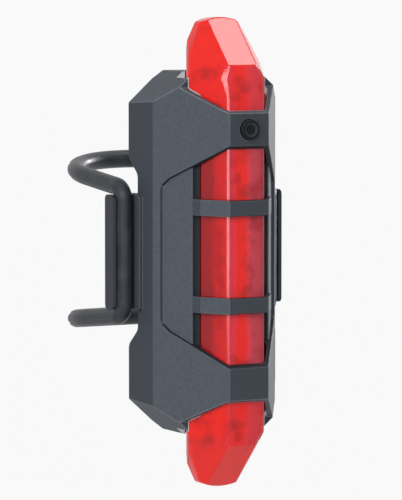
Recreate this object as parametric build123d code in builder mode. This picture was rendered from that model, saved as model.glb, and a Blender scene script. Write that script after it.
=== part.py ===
from build123d import *
import os
from math import acos, atan2, cos, hypot, pi, radians, sin, tan

# Bicycle tail light that a rubber ring straps to a round post.
# Millimetres. Z runs along the post, the light faces -Y, X is to the right, and the
# origin is on the post's axis at the light's mid height.

# Post and overall sizes
post_diameter = 25.4
body_length = 58.6           # cage, end to end
body_width = 23.4            # cage, at its back edges
body_depth = 17.8            # front of the post to the face of the cage
tip_reach = 8.7              # each lens tip beyond the cage
wall_depth = 19.6            # cage side walls, face to back edge
edge_drop = 12.0             # cage face to the edge between slope and side wall
side_draft = 0.5             # side walls lean in from back edge to slope edge

# Cage walls, bands, bars and windows
face_half = 3.5              # half width of the flat front facet
corner_rise = 5.2            # cut corners, along Z
corner_run = 5.8             # and along X
wall = 1.95                  # side and end walls
slope_wall = 2.0             # slopes, measured square to them
band_wall = 0.7              # where bands and bars pass over the lens
band_inset = 6.35            # body end to the wide band
band_width = 5.2
notch_run = 7.7              # end notch, back from the face
notch_rise = 3.85            # and up from the band
window_run = 9.6             # window's slanted edge, back from the face
window_drop = 5.5            # and down from the band
panel_back = 10.9            # side panels start this far behind the face
panel_depth = 0.55           # and lie this far below the slopes
ledge_depth = 1.15           # narrow ledge that closes the gap beside the lens
panel_edge = 7.2             # front facet to the window, along the slope
bar_flat = 5.44              # bars lie flush with the bands to here, then ramp down
bar_centre = 7.8
bar_width = 2.57
waist_rise = 2.9             # back edge steps forward at the waist
waist_half = 12.6
waist_ramp = 2.6
rib_proud = 0.35             # rib on each side wall beside the hook
rim_edge = 0.25              # rounding of the window rims and the bars

# Lens
lens_gap = 1.1               # cage face to lens face
lens_wall = 1.2
lens_face_half = 3.2
lens_side_half = 5.7
foot_height = 1.0
foot_end_inset = 8.8         # foot narrows this far from the body's end, beside the screws
head_half = 7.3
head_back_half = 5.0
head_side_depth = 4.3        # lens back to the corner of the head's rear bevel
slant_depth = 7.7            # slanted end facet, along Y
slant_rise = 7.6             # and along Z
slant_half = 2.65
lean_back = 1.0              # head's front face leans back by this much
lean_rise = 5.4              # below the slanted facet
kink_drop = 2.1              # slanted facet to the widest place of the face below it
kink_half = 3.95
straight_inset = 3.0         # body's end to the end of the straight part between the heads
crown_radius = 8.1           # arched tip
crown_half = 3.5             # where the arch meets the leaning sides
crown_drop = 8.6             # tip to the foot of the leaning sides
lens_edge = 1.4              # rounding of the heads
section_edge = 0.5           # and of the face between them
lens_fit = 0.15              # lens to cage

# Rear case, seal and screws
pad_thickness = 1.0
floor_wall = 1.3
case_wall = 1.2
case_fit = 0.15
lens_back_inset = 7.5        # cage's back edge to the plane where lens and case meet
seal_thickness = 0.5
seal_width = 0.7
tongue_half = 4.3
tongue_thickness = 1.0
screw_end = 4.15             # inside of the end wall to the screw
screw_radius = 0.95
screw_head = (1.5, 1.0)      # radius, height
screw_length = 7.0
screw_wall = 0.95
boss_radius = 1.4

# Hooks, saddle and mounting ring
ring_thickness = 2.9
ring_clearance = 0.1         # ring to post
strand_gap = 0.15            # ring to side wall and to hook lip
strand_inset = 1.3           # cage's back edge to the ring's centre line on its hook
hook_half = 9.3              # half length of a hook's lip
arm_half = 8.6
arm_thickness = 0.8
lip_thickness = 0.6
lip_front = 0.6              # lip reaches this far in front of the ring's centre line
ring_bend = 2.25             # centre line where the ring rounds a hook's end
ring_rise = 11.7             # half spread of the ring beside the post
ring_tilt = 6.5              # degrees, the loops fan apart towards the back
wing_angle = 60.0
wing_thickness = 1.0
pad_angle = 42.0
pad_length = 42.0

# Power button on the upper wide band
button_radius = 1.65
button_proud = 0.7
button_dish = (1.05, 0.25)   # radius, depth
button_fit = 0.1
button_travel = 0.35
flange_radius = 2.15
flange_thickness = 0.55
stem_radius = 0.9
lens_boss = 2.8
switch_size = 3.4
switch_height = 1.6
plunger_radius = 0.75
plunger_proud = 0.6
plunger_length = 1.15

# Electronics
foam_thickness = 0.5
cell_width = 11.0
cell_thickness = 4.5
cell_length = 30.0
cell_z = 4.0
board_gap = 0.6              # cell to main board
board_width = 8.4
board_thickness = 0.8
led_size = (3.5, 0.8, 2.8)
led_pitch = 11.0
led_end_inset = 2.0          # board's end to the lowest lamp
led_beside_button = 6.25     # button to the lamps on either side of it, at the least
cup_radius = 3.5
prism_depth = 2.7            # lens face to the ridges
prism_thickness = 1.0
prism_ridge = 0.4
prism_pitch = 1.1
prism_end_inset = 0.3        # cage's end to the plate's end

# Charging port in the right side wall
port_y_inset = 5.3           # cage's back edge to the port's middle
port_screw_gap = 0.1         # socket to the sleeve round the screw below it
socket_size = (5.0, 2.5, 7.4)
socket_shell = 0.35
socket_fit = 0.2
charger_height = 6.6
pin_pitch = 1.0
pin_count = 4
charger_rise = 1.5           # charging board's middle above the port's
cover_size = (1.0, 3.8, 9.4)
cover_gap = 0.15
hinge_radius = 0.5

# Places worked out from the sizes
post_radius = post_diameter / 2
body_half = body_length / 2
side_half = body_width / 2
face_y = -(post_radius + body_depth)
back_y = face_y + wall_depth
edge_y = face_y + edge_drop
edge_half = side_half - side_draft
slope = atan2(edge_half - face_half, edge_drop)
band_outer = body_half - band_inset
band_inner = band_outer - band_width
button_z = band_outer - band_width / 2
lens_y = face_y + lens_gap
lens_back_y = back_y - lens_back_inset
lens_half = body_half + tip_reach
slant_z = lens_half - slant_rise
slant_y = lens_y + lean_back
kink_z = slant_z - kink_drop
kink_y = slant_y - lean_back * kink_drop / lean_rise
straight_half = body_half - straight_inset
foot_half = body_half - foot_end_inset
rim_y = lens_back_y + seal_thickness
case_side = side_half - wall - case_fit
case_back_y = back_y - 0.2
channel_radius = post_radius + pad_thickness
floor_radius = channel_radius + floor_wall
cell_back_y = -(floor_radius + foam_thickness)
cell_front_y = cell_back_y - cell_thickness
board_back_y = cell_front_y - board_gap
board_y = board_back_y - board_thickness
prism_y = lens_y + prism_depth
prism_back_y = prism_y + prism_thickness
reflector_y = prism_back_y + 0.1
screw_x = lens_side_half + lens_fit + boss_radius
screw_z = body_half - wall - screw_end
screw_y = -channel_radius + 1.2
sleeve_radius = screw_radius + 0.1 + screw_wall
ring_radius = post_radius + ring_clearance + ring_thickness / 2
strand_y = back_y - strand_inset
arm_y = strand_y + ring_thickness / 2 + 0.05
strand_x = side_half + ring_thickness / 2 + strand_gap
lip_x = strand_x + ring_thickness / 2 + strand_gap
tray_end = body_half - wall - case_fit - case_wall
board_half = tray_end + 1.0
prism_half = body_half - prism_end_inset
port_y = back_y - port_y_inset
port_z = sleeve_radius + port_screw_gap + socket_size[2] / 2 - screw_z
charger_z = port_z + charger_rise
socket_x = side_half - wall - case_fit - socket_size[0] / 2
pins_right = board_width / 2 - 0.8
pins_left = pins_right - (pin_count - 1) * pin_pitch
charger_left = pins_left - 0.8
charger_right = socket_x - 0.5
charger_x = (charger_left + charger_right) / 2
far = 60.0                   # past the whole light, for cuts that run through


def slope_point(along, depth=0.0):
    """Plan point on the right slope, measured along it from the face and down into it."""
    x = face_half + along * sin(slope) - depth * cos(slope)
    y = face_y + along * cos(slope) + depth * sin(slope)
    return (x, y)


def slope_at(y, depth=0.0):
    """Plan point where a line this deep under the right slope reaches a given Y."""
    return slope_point((y - face_y - depth * sin(slope)) / cos(slope), depth)


def slope_across(x, depth=0.0):
    """Plan point where a line this deep under the right slope reaches a given X."""
    return slope_point((x - face_half + depth * cos(slope)) / sin(slope), depth)


lens_foot_half = slope_at(lens_back_y - foot_height, slope_wall + lens_fit)[0]


def both_sides(half):
    """Closes a right-hand outline with its mirror image."""
    return list(half) + [(-u, v) for u, v in reversed(half)]


def both_ends(half):
    """Closes an upper outline with its mirror image."""
    return list(half) + [(u, -v) for u, v in reversed(half)]


def facing(y):
    """Plane across the light at a given Y. It faces forward, so cuts go in with a minus."""
    return Plane.XZ.offset(-y)


def outline(plane, points, radius=0.0):
    """Flat face through the points, its corners rounded where a radius is given."""
    with BuildSketch(plane) as face:
        with BuildLine():
            Polyline(*points, close=True)
        make_face()
        if radius:
            fillet(face.vertices(), radius)
    return face.sketch


def end_outline(inset=0.0, y=0.0, radius=0.0):
    """The light's body from the front: a tall block with its corners cut."""
    low, high = (side_half, body_half - corner_rise), (side_half - corner_run, body_half)
    top = both_sides([low, high])
    with BuildSketch(facing(y)) as face:
        with BuildLine():
            Polyline(*top, *[(-u, -v) for u, v in top], close=True)
        make_face()
        if radius:
            fillet(face.vertices(), radius)
        if inset:
            offset(amount=-inset, kind=Kind.INTERSECTION)
    return face.sketch


def lens_section(foot, inset=0.0, back=lens_back_y):
    """Plan section of the lens between its heads, with or without its wide foot."""
    foot_y = lens_back_y - foot_height
    half = [(lens_face_half, lens_y)]
    half += [(lens_side_half, lens_y + (lens_side_half - lens_face_half) / tan(slope))]
    if foot:
        half += [(lens_side_half, foot_y - (lens_foot_half - lens_side_half) / tan(slope))]
        half += [(lens_foot_half, foot_y), (lens_foot_half, back)]
    else:
        half += [(lens_side_half, back)]
    with BuildSketch(Plane.XY) as face:
        with BuildLine():
            Polyline(*both_sides(half), close=True)
        make_face()
        if inset:
            offset(amount=-inset, kind=Kind.INTERSECTION)
        else:
            fillet(face.vertices().sort_by(Axis.Y)[:4], section_edge)
    return face.sketch


# Flat faces of a lens head: a point and the direction each faces
side_corner = Vector(head_half, lens_back_y - head_side_depth, 0)
slant_corner = Vector(slant_half, slant_y, slant_z)
kink = Vector(kink_half, kink_y, kink_z)
crown_side = Vector(head_half, 0, lens_half - crown_drop)
crown_z = lens_half - crown_radius
arch_drop = crown_radius - (crown_radius ** 2 - crown_half ** 2) ** 0.5
head_faces = [
    (Vector(0, lens_y, 0), Vector(0, -1, 0)),
    (slant_corner, Vector(0, -lean_rise, lean_back)),
    (slant_corner, Vector(0, -slant_rise, slant_depth)),
    (slant_corner, (kink - slant_corner).cross(Vector(0, slant_depth, slant_rise))),
    (kink, Vector(0.838, -0.335, -0.254)),
    (side_corner, Vector(1, 0, 0)),
    (side_corner, Vector(head_side_depth, head_half - head_back_half, 0)),
    (crown_side, Vector(crown_drop - arch_drop, 0, head_half - crown_half)),
]


def head_block(inset=0.0, back=lens_back_y, bottom=band_outer):
    """One faceted head of the lens, all its faces moved inwards by the inset."""
    depth = back - lens_y + 2
    height = lens_half - bottom + 2
    with BuildPart() as block:
        with Locations((0, back - depth / 2, bottom + height / 2)):
            Box(4 * head_half, depth, height)
        for point, facing in head_faces:
            outward = facing.normalized()
            for side in (1, -1):
                away = Vector(outward.X * side, outward.Y, outward.Z)
                place = Vector(point.X * side, point.Y, point.Z) - away * inset
                split(bisect_by=Plane(origin=place, z_dir=away), keep=Keep.BOTTOM)
        with BuildSketch(Plane.XZ):
            with Locations((0, crown_z)):
                Circle(crown_radius - inset)
            with Locations((0, crown_z - crown_radius)):
                Rectangle(2 * crown_radius, 2 * crown_radius)
        extrude(amount=far, both=True, mode=Mode.INTERSECT)
        if not inset:
            shown = [e for e in block.edges() if e.center().Z > band_outer + 0.05
                     and e.center().Y < lens_back_y - 0.05]
            fillet(shown, lens_edge)
    return block.part


# Lens: one red shell, with a wide foot along the cage and a faceted head at each end
with BuildPart() as lens:
    extrude(lens_section(foot=True), amount=foot_half, both=True)
    extrude(lens_section(foot=False), amount=straight_half, both=True)
    head = head_block()
    add(head)
    add(head.mirror(Plane.XY))
    extrude(lens_section(True, lens_wall, rim_y + 3), amount=foot_half - lens_wall, both=True,
            mode=Mode.SUBTRACT)
    extrude(lens_section(False, lens_wall, rim_y + 3), amount=body_half, both=True,
            mode=Mode.SUBTRACT)
    hollow = head_block(lens_wall, rim_y + 3)
    add(hollow, mode=Mode.SUBTRACT)
    add(hollow.mirror(Plane.XY), mode=Mode.SUBTRACT)
    with BuildSketch(facing(prism_y - 0.1)):
        with Locations((0, button_z)):
            Circle(lens_boss)
    extrude(amount=prism_depth - 0.1)
    with BuildSketch(facing(lens_y)):
        with Locations((0, button_z)):
            Circle(flange_radius + button_fit)
    extrude(amount=-(lens_wall + 0.6), mode=Mode.SUBTRACT)
    with BuildSketch(facing(lens_y)):
        with Locations((0, button_z)):
            Circle(stem_radius + 2 * button_fit)
    extrude(amount=-prism_depth, mode=Mode.SUBTRACT)
lens.part.label = "lens"

# Openings in the cage: two side windows with sunken panels, bounded by the wide bands
window_back = face_y + window_run
window_half = [
    (face_y - 1, band_inner + window_drop / window_run),
    (window_back, band_inner - window_drop),
    (face_y + panel_back, band_inner - window_drop - (panel_back - window_run)),
]
panel = [slope_point(panel_edge - 2, -1), slope_point(panel_edge + far / 8, -1)]
panel += [slope_point(panel_edge + far / 8, panel_depth), slope_point(panel_edge - 2, panel_depth)]
window = [(face_half + 1, face_y - 1), slope_point(panel_edge, -1.2)]
window += [slope_point(panel_edge, ledge_depth), slope_point(bar_flat, ledge_depth)]
with BuildPart() as opening:
    extrude(outline(Plane.XY, panel), amount=band_outer, both=True)
    mirror(about=Plane.YZ)
    extrude(outline(Plane.XY, both_sides(window)), amount=band_outer, both=True)
    with BuildSketch(Plane.YZ) as side_view:
        with BuildLine():
            Polyline(*both_ends(window_half), close=True)
        make_face()
        fillet(side_view.vertices().group_by(Axis.X)[1], 0.8)
        fillet(side_view.vertices().group_by(Axis.X)[-1], 1.2)
    extrude(amount=far, both=True, mode=Mode.INTERSECT)

# Cage: the black shell with wide bands, narrow bars, end notches and a waist for the hooks
body_plan = [(face_half, face_y), (edge_half, edge_y), (side_half, back_y + 0.001)]
side_half_view = [
    (face_y, band_outer),
    (face_y + 1.55, band_outer + 0.65),
    (face_y + notch_run, band_outer + notch_rise),
    (face_y + notch_run + 0.2, body_half + 1),
    (back_y, body_half + 1),
    (back_y, waist_half + waist_ramp),
    (back_y - waist_rise, waist_half),
]
bar_half = [
    (face_half, face_y),
    slope_point(bar_flat),
    slope_point(panel_edge, panel_depth),
    slope_point(panel_edge + 0.9, panel_depth + 0.3),
    slope_point(panel_edge + 0.9, panel_depth + band_wall),
    slope_point(bar_flat + 1.2, band_wall),
    slope_at(face_y + band_wall, band_wall),
]
cavity_side = side_half - wall
cavity_half = [
    slope_across(lens_side_half - 0.6, slope_wall),
    slope_across(cavity_side, slope_wall),
    (cavity_side, back_y + 1),
]
boss_y = slope_across(screw_x + boss_radius, slope_wall / 2)[1]
screw_places = [(x, z) for x in (-screw_x, screw_x) for z in (-screw_z, screw_z)]
cover_x = side_half - 0.25                     # outside of the port cover
recess_x = cover_x - cover_size[0] - 0.02
with BuildPart() as cavity:
    extrude(outline(Plane.XY, both_sides(cavity_half)), amount=body_half - wall, both=True)
    extrude(end_outline(wall), amount=far, both=True, mode=Mode.INTERSECT)
    extrude(lens_section(False, -lens_fit, 0), amount=straight_half + lens_fit, both=True)
    socket = head_block(-lens_fit - 0.05, rim_y)
    add(socket)
    add(socket.mirror(Plane.XY))
    with Locations((0, (lens_back_y + rim_y + tongue_thickness) / 2 + 0.1, 0)):
        Box(2 * (tongue_half + 0.2), seal_thickness + tongue_thickness + 0.2, body_length + 2)
    Cylinder(post_radius + 0.5, body_length + 2)
with BuildPart() as front_cage:
    with BuildSketch(Plane.XY) as plan:
        with BuildLine():
            Polyline(*both_sides(body_plan), close=True)
        make_face()
        fillet(plan.vertices().group_by(Axis.Y)[1], 0.8)
        fillet(plan.vertices().group_by(Axis.Y)[0], 0.3)
    extrude(amount=body_half, both=True)
    extrude(end_outline(radius=0.6), amount=far, both=True, mode=Mode.INTERSECT)
    with BuildSketch(Plane.YZ) as side_view:
        with BuildLine():
            Polyline(*both_ends(side_half_view), close=True)
        make_face()
        waist_corners = [v for v in side_view.vertices() if abs(v.Y) < waist_half + waist_ramp + 1
                         and v.X > back_y - waist_rise - 0.1]
        fillet(waist_corners, 1.6)
    extrude(amount=far, both=True, mode=Mode.INTERSECT)
    with BuildSketch(Plane.YZ) as rib_view:
        with Locations(((back_y - waist_rise + back_y - 4.5) / 2, 0)):
            RectangleRounded(1.6, 2 * hook_half, 0.5)
    extrude(amount=side_half + rib_proud, both=True)
    add(opening.part, mode=Mode.SUBTRACT)
    add(cavity.part, mode=Mode.SUBTRACT)
    for z in (-bar_centre, bar_centre):
        plane = Plane.XY.offset(z - bar_width / 2)
        extrude(outline(plane, both_sides(bar_half)), amount=bar_width)
    with BuildSketch(facing(rim_y - 0.05)):
        with Locations(*screw_places):
            Circle(boss_radius)
    extrude(amount=rim_y - 0.05 - boss_y)
    add(socket, mode=Mode.SUBTRACT)
    add(socket.mirror(Plane.XY), mode=Mode.SUBTRACT)
    with BuildSketch(facing(rim_y)):
        with Locations(*screw_places):
            Circle(screw_radius + 0.05)
    extrude(amount=screw_length - (screw_y - rim_y) + 0.6, mode=Mode.SUBTRACT)
    with BuildSketch(facing(face_y)):
        with Locations((0, button_z)):
            Circle(button_radius + button_fit)
    extrude(amount=-2, mode=Mode.SUBTRACT)
    with BuildSketch(Plane.YZ.offset(cavity_side - 1)):
        with Locations((port_y, port_z)):
            RectangleRounded(socket_size[1] + 0.4, socket_size[2] + 0.4, 0.6)
    extrude(amount=4, mode=Mode.SUBTRACT)
    with BuildSketch(Plane.YZ.offset(recess_x)):
        with Locations((port_y, port_z)):
            RectangleRounded(cover_size[1] + 2 * cover_gap, cover_size[2] + 2 * cover_gap, 0.3)
    extrude(amount=4, mode=Mode.SUBTRACT)
    rims = [e for e in front_cage.edges().filter_by(Axis.X)
            if abs(e.center().Y - face_y) < 0.01 and abs(e.center().Z) < band_inner + 0.1]
    fillet(rims, rim_edge)
front_cage.part.label = "front_cage"

# Rear case: a tray with a channel for the post, hooks for the ring and tongues behind the heads
tray_inset = side_half - case_side
tray_depth = case_back_y - rim_y
wing = radians(wing_angle)
wing_radius = channel_radius + wing_thickness
wing_y = -post_radius * cos(wing)
lip_y = strand_y - lip_front
root_y = back_y - waist_rise + 0.2
hook_root = [(case_side - 1, root_y), (side_half, root_y), (side_half, wing_y), (case_side - 1, wing_y)]
hook_arm = [
    (side_half - 1, arm_y),
    (lip_x + lip_thickness, arm_y),
    (lip_x + lip_thickness, arm_y + arm_thickness),
    (side_half - 1, arm_y + arm_thickness),
]
hook_lip = [
    (lip_x, lip_y),
    (lip_x + lip_thickness, lip_y),
    (lip_x + lip_thickness, arm_y + arm_thickness),
    (lip_x, arm_y + arm_thickness),
]
saddle_wing = [
    (case_side - 1, arm_y),
    (wing_radius * sin(wing), arm_y),
    (wing_radius * sin(wing), -wing_radius * cos(wing)),
    (post_radius * sin(wing), wing_y),
    (case_side - 1, wing_y),
]
post_places = [(x, z) for x in (-3.0, 3.0) for z in (-tray_end + 1.2, tray_end - 1.2)]
charger_posts = [(charger_left + 0.9, charger_z + 2.1), (charger_left + 0.9, charger_z - 2.1)]
charger_y = port_y - socket_size[1] / 2
post_foot_y = -floor_radius + 0.9
with BuildPart() as pocket:
    extrude(end_outline(tray_inset + case_wall, rim_y), amount=-tray_depth)
    Cylinder(floor_radius, far, mode=Mode.SUBTRACT)
    with BuildSketch(facing(rim_y)):
        with Locations(*screw_places):
            Circle(sleeve_radius)
    extrude(amount=-tray_depth, mode=Mode.SUBTRACT)
with BuildPart() as tongues:
    with BuildSketch(facing(rim_y)):
        SlotOverall(2 * (lens_half - 1.0), 2 * tongue_half, rotation=90)
    extrude(amount=-tongue_thickness)
    Box(40, 80, 2 * tray_end, mode=Mode.SUBTRACT)
with BuildPart() as hooks:
    extrude(outline(Plane.XY, hook_root), amount=hook_half, both=True)
    extrude(outline(Plane.XY, hook_arm), amount=arm_half, both=True)
    extrude(outline(Plane.XY, hook_lip), amount=hook_half, both=True)
    lip_corners = hooks.edges().filter_by(Axis.X).group_by(Axis.X)[-1]
    fillet(lip_corners, 0.8)
    extrude(outline(Plane.XY, saddle_wing), amount=arm_half, both=True)
    mirror(about=Plane.YZ)
tray_half = [
    slope_at(rim_y, slope_wall + case_fit),
    slope_across(case_side, slope_wall + case_fit),
    (case_side, case_back_y),
]
with BuildPart() as rear_case:
    extrude(outline(Plane.XY, both_sides(tray_half)), amount=body_half, both=True)
    extrude(end_outline(tray_inset), amount=far, both=True, mode=Mode.INTERSECT)
    add(pocket.part, mode=Mode.SUBTRACT)
    add(tongues.part)
    add(hooks.part)
    Cylinder(channel_radius, far, mode=Mode.SUBTRACT)
    with BuildSketch(facing(board_back_y)):
        with Locations(*post_places):
            Circle(0.8)
    extrude(amount=board_back_y - post_foot_y)
    with BuildSketch(facing(charger_y)):
        with Locations(*charger_posts):
            Circle(0.8)
    extrude(amount=charger_y - post_foot_y)
    with BuildSketch(facing(rim_y)):
        with Locations(*screw_places):
            Circle(screw_radius + 0.1)
    extrude(amount=-tray_depth, mode=Mode.SUBTRACT)
    with BuildSketch(facing(screw_y)):
        with Locations(*screw_places):
            Circle(screw_head[0] + 0.1)
    extrude(amount=-tray_depth, mode=Mode.SUBTRACT)
    with BuildSketch(Plane.YZ.offset(case_side - 3)):
        with Locations((port_y, port_z)):
            RectangleRounded(socket_size[1] + 2 * socket_fit, socket_size[2] + 2 * socket_fit, 0.5)
    extrude(amount=6, mode=Mode.SUBTRACT)
rear_case.part.label = "rear_case"

# Saddle pad: rubber between the case and the post
with BuildPart() as saddle_pad:
    with BuildSketch(Plane.XY):
        Circle(channel_radius)
        Circle(post_radius, mode=Mode.SUBTRACT)
        Polygon((0, 0), (-far * sin(wing), -far * cos(wing)), (far * sin(wing), -far * cos(wing)),
                align=None, mode=Mode.INTERSECT)
    extrude(amount=arm_half, both=True)
    with BuildSketch(Plane.XY):
        Circle(channel_radius)
        Circle(post_radius, mode=Mode.SUBTRACT)
        Polygon((0, 0), (-far * sin(radians(pad_angle)), -far), (far * sin(radians(pad_angle)), -far),
                align=None, mode=Mode.INTERSECT)
    extrude(amount=pad_length / 2, both=True)
saddle_pad.part.label = "saddle_pad"

# Seal between the lens and the case, a flat ring that follows the foot and the heads
with BuildPart() as case_seal:
    with BuildSketch(facing(lens_back_y)) as seal_face:
        Rectangle(2 * (lens_foot_half - 0.2), 2 * (foot_half - 0.2))
        Rectangle(2 * (lens_side_half - 0.1), 2 * (body_half - 3.2))
        SlotOverall(2 * (lens_half - 0.9), 2 * tongue_half, rotation=90)
        offset(amount=-seal_width, kind=Kind.ARC, mode=Mode.SUBTRACT)
    extrude(amount=-seal_thickness)
case_seal.part.label = "case_seal"

# Case screws: four pan heads, one solid each
with BuildPart() as case_screws:
    with BuildSketch(facing(screw_y)):
        with Locations(*screw_places):
            Circle(screw_radius)
    extrude(amount=screw_length)
    with BuildSketch(facing(screw_y)):
        with Locations(*screw_places):
            Circle(screw_head[0])
    extrude(amount=-screw_head[1])
    with BuildSketch(facing(screw_y + screw_head[1])):
        with Locations(*screw_places):
            Rectangle(1.7, 0.4)
            Rectangle(0.4, 1.7)
    extrude(amount=0.5, mode=Mode.SUBTRACT)
case_screws.part.label = "case_screws"

# Mounting ring: a closed rubber loop, held open by the two hooks and passed behind the post
tilt = radians(ring_tilt)
loop_plane = Plane(origin=(0, 0, ring_rise), x_dir=(1, 0, 0), z_dir=(0, -sin(tilt), cos(tilt)))
loop_shift = ring_radius * (1 / cos(tilt) - 1)
hook_at = (strand_x, strand_y / cos(tilt))
touch = atan2(hook_at[1] - loop_shift, hook_at[0])
touch += acos(ring_radius / hypot(hook_at[0], hook_at[1] - loop_shift))


def loop_point(angle):
    """Point on the upper loop where it lies round the post, in the loop's plane."""
    x, y = ring_radius * cos(angle), loop_shift + ring_radius * sin(angle)
    return loop_plane.from_local_coords(Vector(x, y, 0))


corner = loop_plane.from_local_coords(Vector(hook_at[0], hook_at[1], 0))
back_middle, back_side, leg_end = loop_point(pi / 2), loop_point(pi / 4), loop_point(touch)
leg = (leg_end - corner).normalized()
bend_reach = ring_bend * tan(acos(leg.Z) / 2)
leg_start = corner + leg * bend_reach
strand_top = corner - Vector(0, 0, bend_reach)
with BuildPart() as mounting_ring:
    with BuildLine() as path:
        ThreePointArc(back_middle, back_side, leg_end)
        Line(leg_end, leg_start)
        TangentArc(leg_start, strand_top, tangent=-leg)
        Line(strand_top, (strand_top.X, strand_top.Y, 0))
    with BuildSketch(Plane(origin=back_middle, z_dir=path.line % 0)):
        Circle(ring_thickness / 2)
    sweep(path=path.line)
    mirror(about=Plane.XY)
    mirror(about=Plane.YZ)
mounting_ring.part.label = "mounting_ring"

# Power button: cap, flange behind the band and a stem that reaches the switch
flange_y = lens_y - lens_fit + 0.05
flange_back_y = flange_y + flange_thickness
switch_y = board_y - switch_height
stem_end_y = switch_y - plunger_proud
seal_floor_y = lens_y + lens_wall + 0.6
seal_y = flange_back_y + button_travel + 0.1
with BuildPart() as power_button:
    with BuildSketch(facing(flange_y)):
        with Locations((0, button_z)):
            Circle(button_radius)
    extrude(amount=flange_y - face_y + button_proud)
    fillet(power_button.edges().group_by(Axis.Y)[0], 0.25)
    with BuildSketch(facing(face_y - button_proud)):
        with Locations((0, button_z)):
            Circle(button_dish[0])
    extrude(amount=-button_dish[1], taper=30, mode=Mode.SUBTRACT)
    with BuildSketch(facing(flange_y)):
        with Locations((0, button_z)):
            Circle(flange_radius)
    extrude(amount=-flange_thickness)
    with BuildSketch(facing(flange_y)):
        with Locations((0, button_z)):
            Circle(stem_radius)
    extrude(amount=flange_y - stem_end_y)
power_button.part.label = "power_button"

# Button seal: a silicone ring round the stem, in its seat in the lens
with BuildPart() as button_seal:
    with BuildSketch(facing(seal_floor_y)):
        with Locations((0, button_z)):
            Circle(flange_radius)
            Circle(stem_radius + button_fit, mode=Mode.SUBTRACT)
    extrude(amount=seal_floor_y - seal_y)
    fillet(button_seal.edges().group_by(Axis.Y)[0].sort_by(SortBy.RADIUS)[-1], 0.3)
button_seal.part.label = "button_seal"

# Tact switch on the main board, with its own small plunger
with BuildPart() as switch_body:
    with BuildSketch(facing(board_y)):
        with Locations((0, button_z)):
            RectangleRounded(switch_size, switch_size, 0.3)
    extrude(amount=switch_height)
    with BuildSketch(facing(switch_y)):
        with Locations((0, button_z)):
            Circle(plunger_radius + 0.08)
    extrude(amount=-1.1, mode=Mode.SUBTRACT)
switch_body.part.label = "switch_body"

with BuildPart() as switch_plunger:
    with BuildSketch(facing(stem_end_y)):
        with Locations((0, button_z)):
            Circle(plunger_radius)
    extrude(amount=-plunger_length)
switch_plunger.part.label = "switch_plunger"

# Main board with five lamps, behind a reflector with a cup for each and a ribbed prism plate
lowest_led = led_end_inset - board_half
led_row = int((button_z - led_beside_button - lowest_led) / led_pitch) + 1
led_places = [lowest_led + i * led_pitch for i in range(led_row)] + [button_z + led_beside_button]
with BuildPart() as circuit_board:
    with BuildSketch(facing(board_back_y)):
        RectangleRounded(board_width, 2 * board_half, 1.0)
    extrude(amount=board_thickness)
circuit_board.part.label = "circuit_board"

with BuildPart() as leds:
    with BuildSketch(facing(board_y)):
        with Locations(*[(0, z) for z in led_places]):
            Rectangle(led_size[0], led_size[2])
    extrude(amount=led_size[1])
    with BuildSketch(facing(board_y - led_size[1])):
        with Locations(*[(0, z) for z in led_places]):
            Circle(1.1)
    extrude(amount=-0.25, mode=Mode.SUBTRACT)
leds.part.label = "leds"

reflector_half = lens_side_half - lens_wall - 0.4
reflector_depth = board_y - reflector_y
with BuildPart() as reflector:
    with BuildSketch(facing(board_y)):
        RectangleRounded(2 * reflector_half, 2 * prism_half, 1.0)
    extrude(amount=reflector_depth)
    for z in led_places:
        with BuildSketch(facing(reflector_y)):
            with Locations((0, z)):
                Circle(cup_radius)
        with BuildSketch(facing(board_y)):
            with Locations((0, z)):
                Circle(2.3)
        loft(mode=Mode.SUBTRACT)
    with BuildSketch(facing(board_y)):
        with Locations((0, button_z)):
            Rectangle(switch_size + 0.6, switch_size + 0.6)
    extrude(amount=reflector_depth, mode=Mode.SUBTRACT)
reflector.part.label = "reflector"

prism_count = round(2 * prism_half / prism_pitch)
pitch = 2 * prism_half / prism_count
ridge_line = []
for i in range(prism_count):
    z = -prism_half + i * pitch
    ridge_line += [(prism_y + prism_ridge, z), (prism_y, z + pitch / 2)]
ridge_line += [(prism_y + prism_ridge, prism_half), (prism_back_y, prism_half), (prism_back_y, -prism_half)]
prism_plan = [(lens_face_half - 0.05, prism_y), (reflector_half, prism_back_y)]
with BuildPart() as prism_plate:
    extrude(outline(Plane.YZ, ridge_line), amount=reflector_half, both=True)
    extrude(outline(Plane.XY, both_sides(prism_plan)), amount=prism_half, both=True, mode=Mode.INTERSECT)
    with BuildSketch(facing(prism_y)):
        with Locations((0, button_z)):
            Circle(stem_radius + 0.4)
    extrude(amount=-2 * prism_thickness, mode=Mode.SUBTRACT)
prism_plate.part.label = "prism_plate"

# Battery: foam, pouch cell, protection board and its two leads to the main board
with BuildPart() as battery_foam:
    with BuildSketch(facing(cell_back_y)):
        with Locations((0, cell_z)):
            Rectangle(cell_width - 3, cell_length - 2)
    extrude(amount=-foam_thickness)
battery_foam.part.label = "battery_foam"

with BuildPart() as battery_cell:
    with BuildSketch(facing(cell_back_y)):
        with Locations((0, cell_z)):
            Rectangle(cell_width, cell_length)
    extrude(amount=cell_thickness)
    fillet(battery_cell.edges().filter_by(Axis.Z), 1.2)
battery_cell.part.label = "battery_cell"

guard_z = cell_z - cell_length / 2
guard_thickness = 0.8
with BuildPart() as protection_board:
    with BuildSketch(Plane.XY.offset(guard_z)):
        with Locations((0, (cell_back_y + cell_front_y) / 2)):
            Rectangle(cell_width - 1, cell_thickness - 0.6)
    extrude(amount=-guard_thickness)
protection_board.part.label = "protection_board"

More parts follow.
